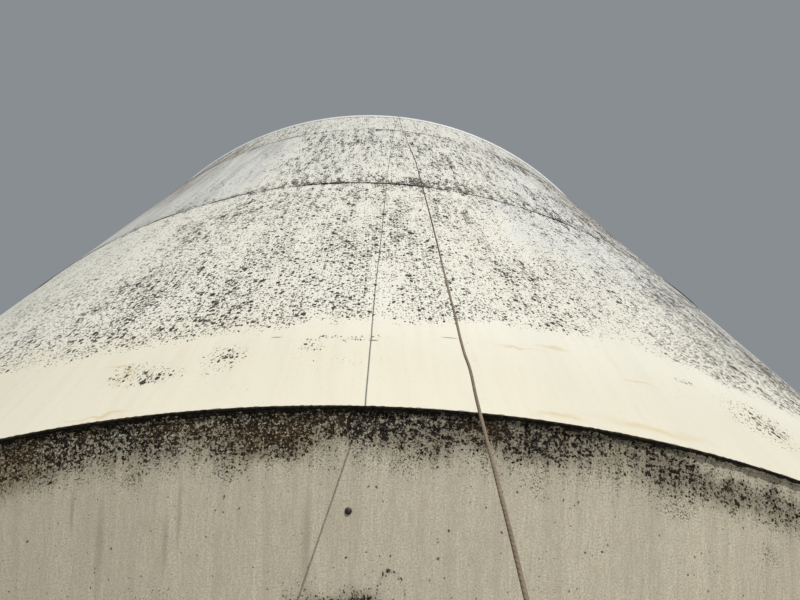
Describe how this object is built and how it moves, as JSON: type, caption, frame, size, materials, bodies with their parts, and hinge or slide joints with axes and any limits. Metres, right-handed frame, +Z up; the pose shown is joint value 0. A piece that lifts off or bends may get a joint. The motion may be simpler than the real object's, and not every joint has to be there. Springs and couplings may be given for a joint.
{
  "type": "hopper bottom grain bin",
  "caption": "Smooth round grain bin with a conical hopper bottom, cone roof with lid and pull cord, steel post frame, slide gate outlet and side ladder.",
  "frame": {"origin": "on the ground under the bin's axis, level with the undersides of the foot plates", "axes": "+Z up along the bin's axis; -Y is the side where the pull cord hangs; +X is to the right of someone who faces that side"},
  "size_m": [4.29, 4.5825, 8.4391],
  "materials": {
    "wall_paint": "weathered cream paint on smooth plate, speckled with dark lichen",
    "cone_paint": "weathered cream paint on smooth plate, greyed, with mould under the rim",
    "frame_paint": "faded red oxide paint",
    "galvanised": "dull galvanised sheet",
    "cord": "rusty brown stranded wire cord"
  },
  "bodies": {
    "root": {"hopper_band": "wall_paint", "wall_course_lower": "wall_paint", "wall_course_middle": "wall_paint", "wall_course_upper": "wall_paint", "hopper_cone": "cone_paint", "roof_cone": "wall_paint", "fill_collar": "wall_paint", "fill_lid": "galvanised", "lid_hinge": "frame_paint", "lid_lever": "frame_paint", "cord_guide": "frame_paint", "outlet_throat": "cone_paint", "gate_frame": "galvanised", "gate_plate": "galvanised", "gate_handle": "frame_paint", "outlet_spout": "galvanised", "post_1": "frame_paint", "post_2": "frame_paint", "post_3": "frame_paint", "post_4": "frame_paint", "post_5": "frame_paint", "post_6": "frame_paint", "post_7": "frame_paint", "post_8": "frame_paint", "ring_beam_1": "frame_paint", "ring_beam_2": "frame_paint", "ring_beam_3": "frame_paint", "ring_beam_4": "frame_paint", "ring_beam_5": "frame_paint", "ring_beam_6": "frame_paint", "ring_beam_7": "frame_paint", "ring_beam_8": "frame_paint", "ladder_lower": "frame_paint", "ladder_upper": "frame_paint", "ladder_bracket_1": "frame_paint", "ladder_bracket_2": "frame_paint", "ladder_bracket_3": "frame_paint", "ladder_bracket_4": "frame_paint", "ladder_bracket_5": "frame_paint", "ladder_stay": "frame_paint", "roof_ladder": "frame_paint", "pull_cord_run": "cord", "pull_cord_bend": "cord", "pull_cord_drop": "cord", "cord_knot": "cord"}
  },
  "joints": []
}
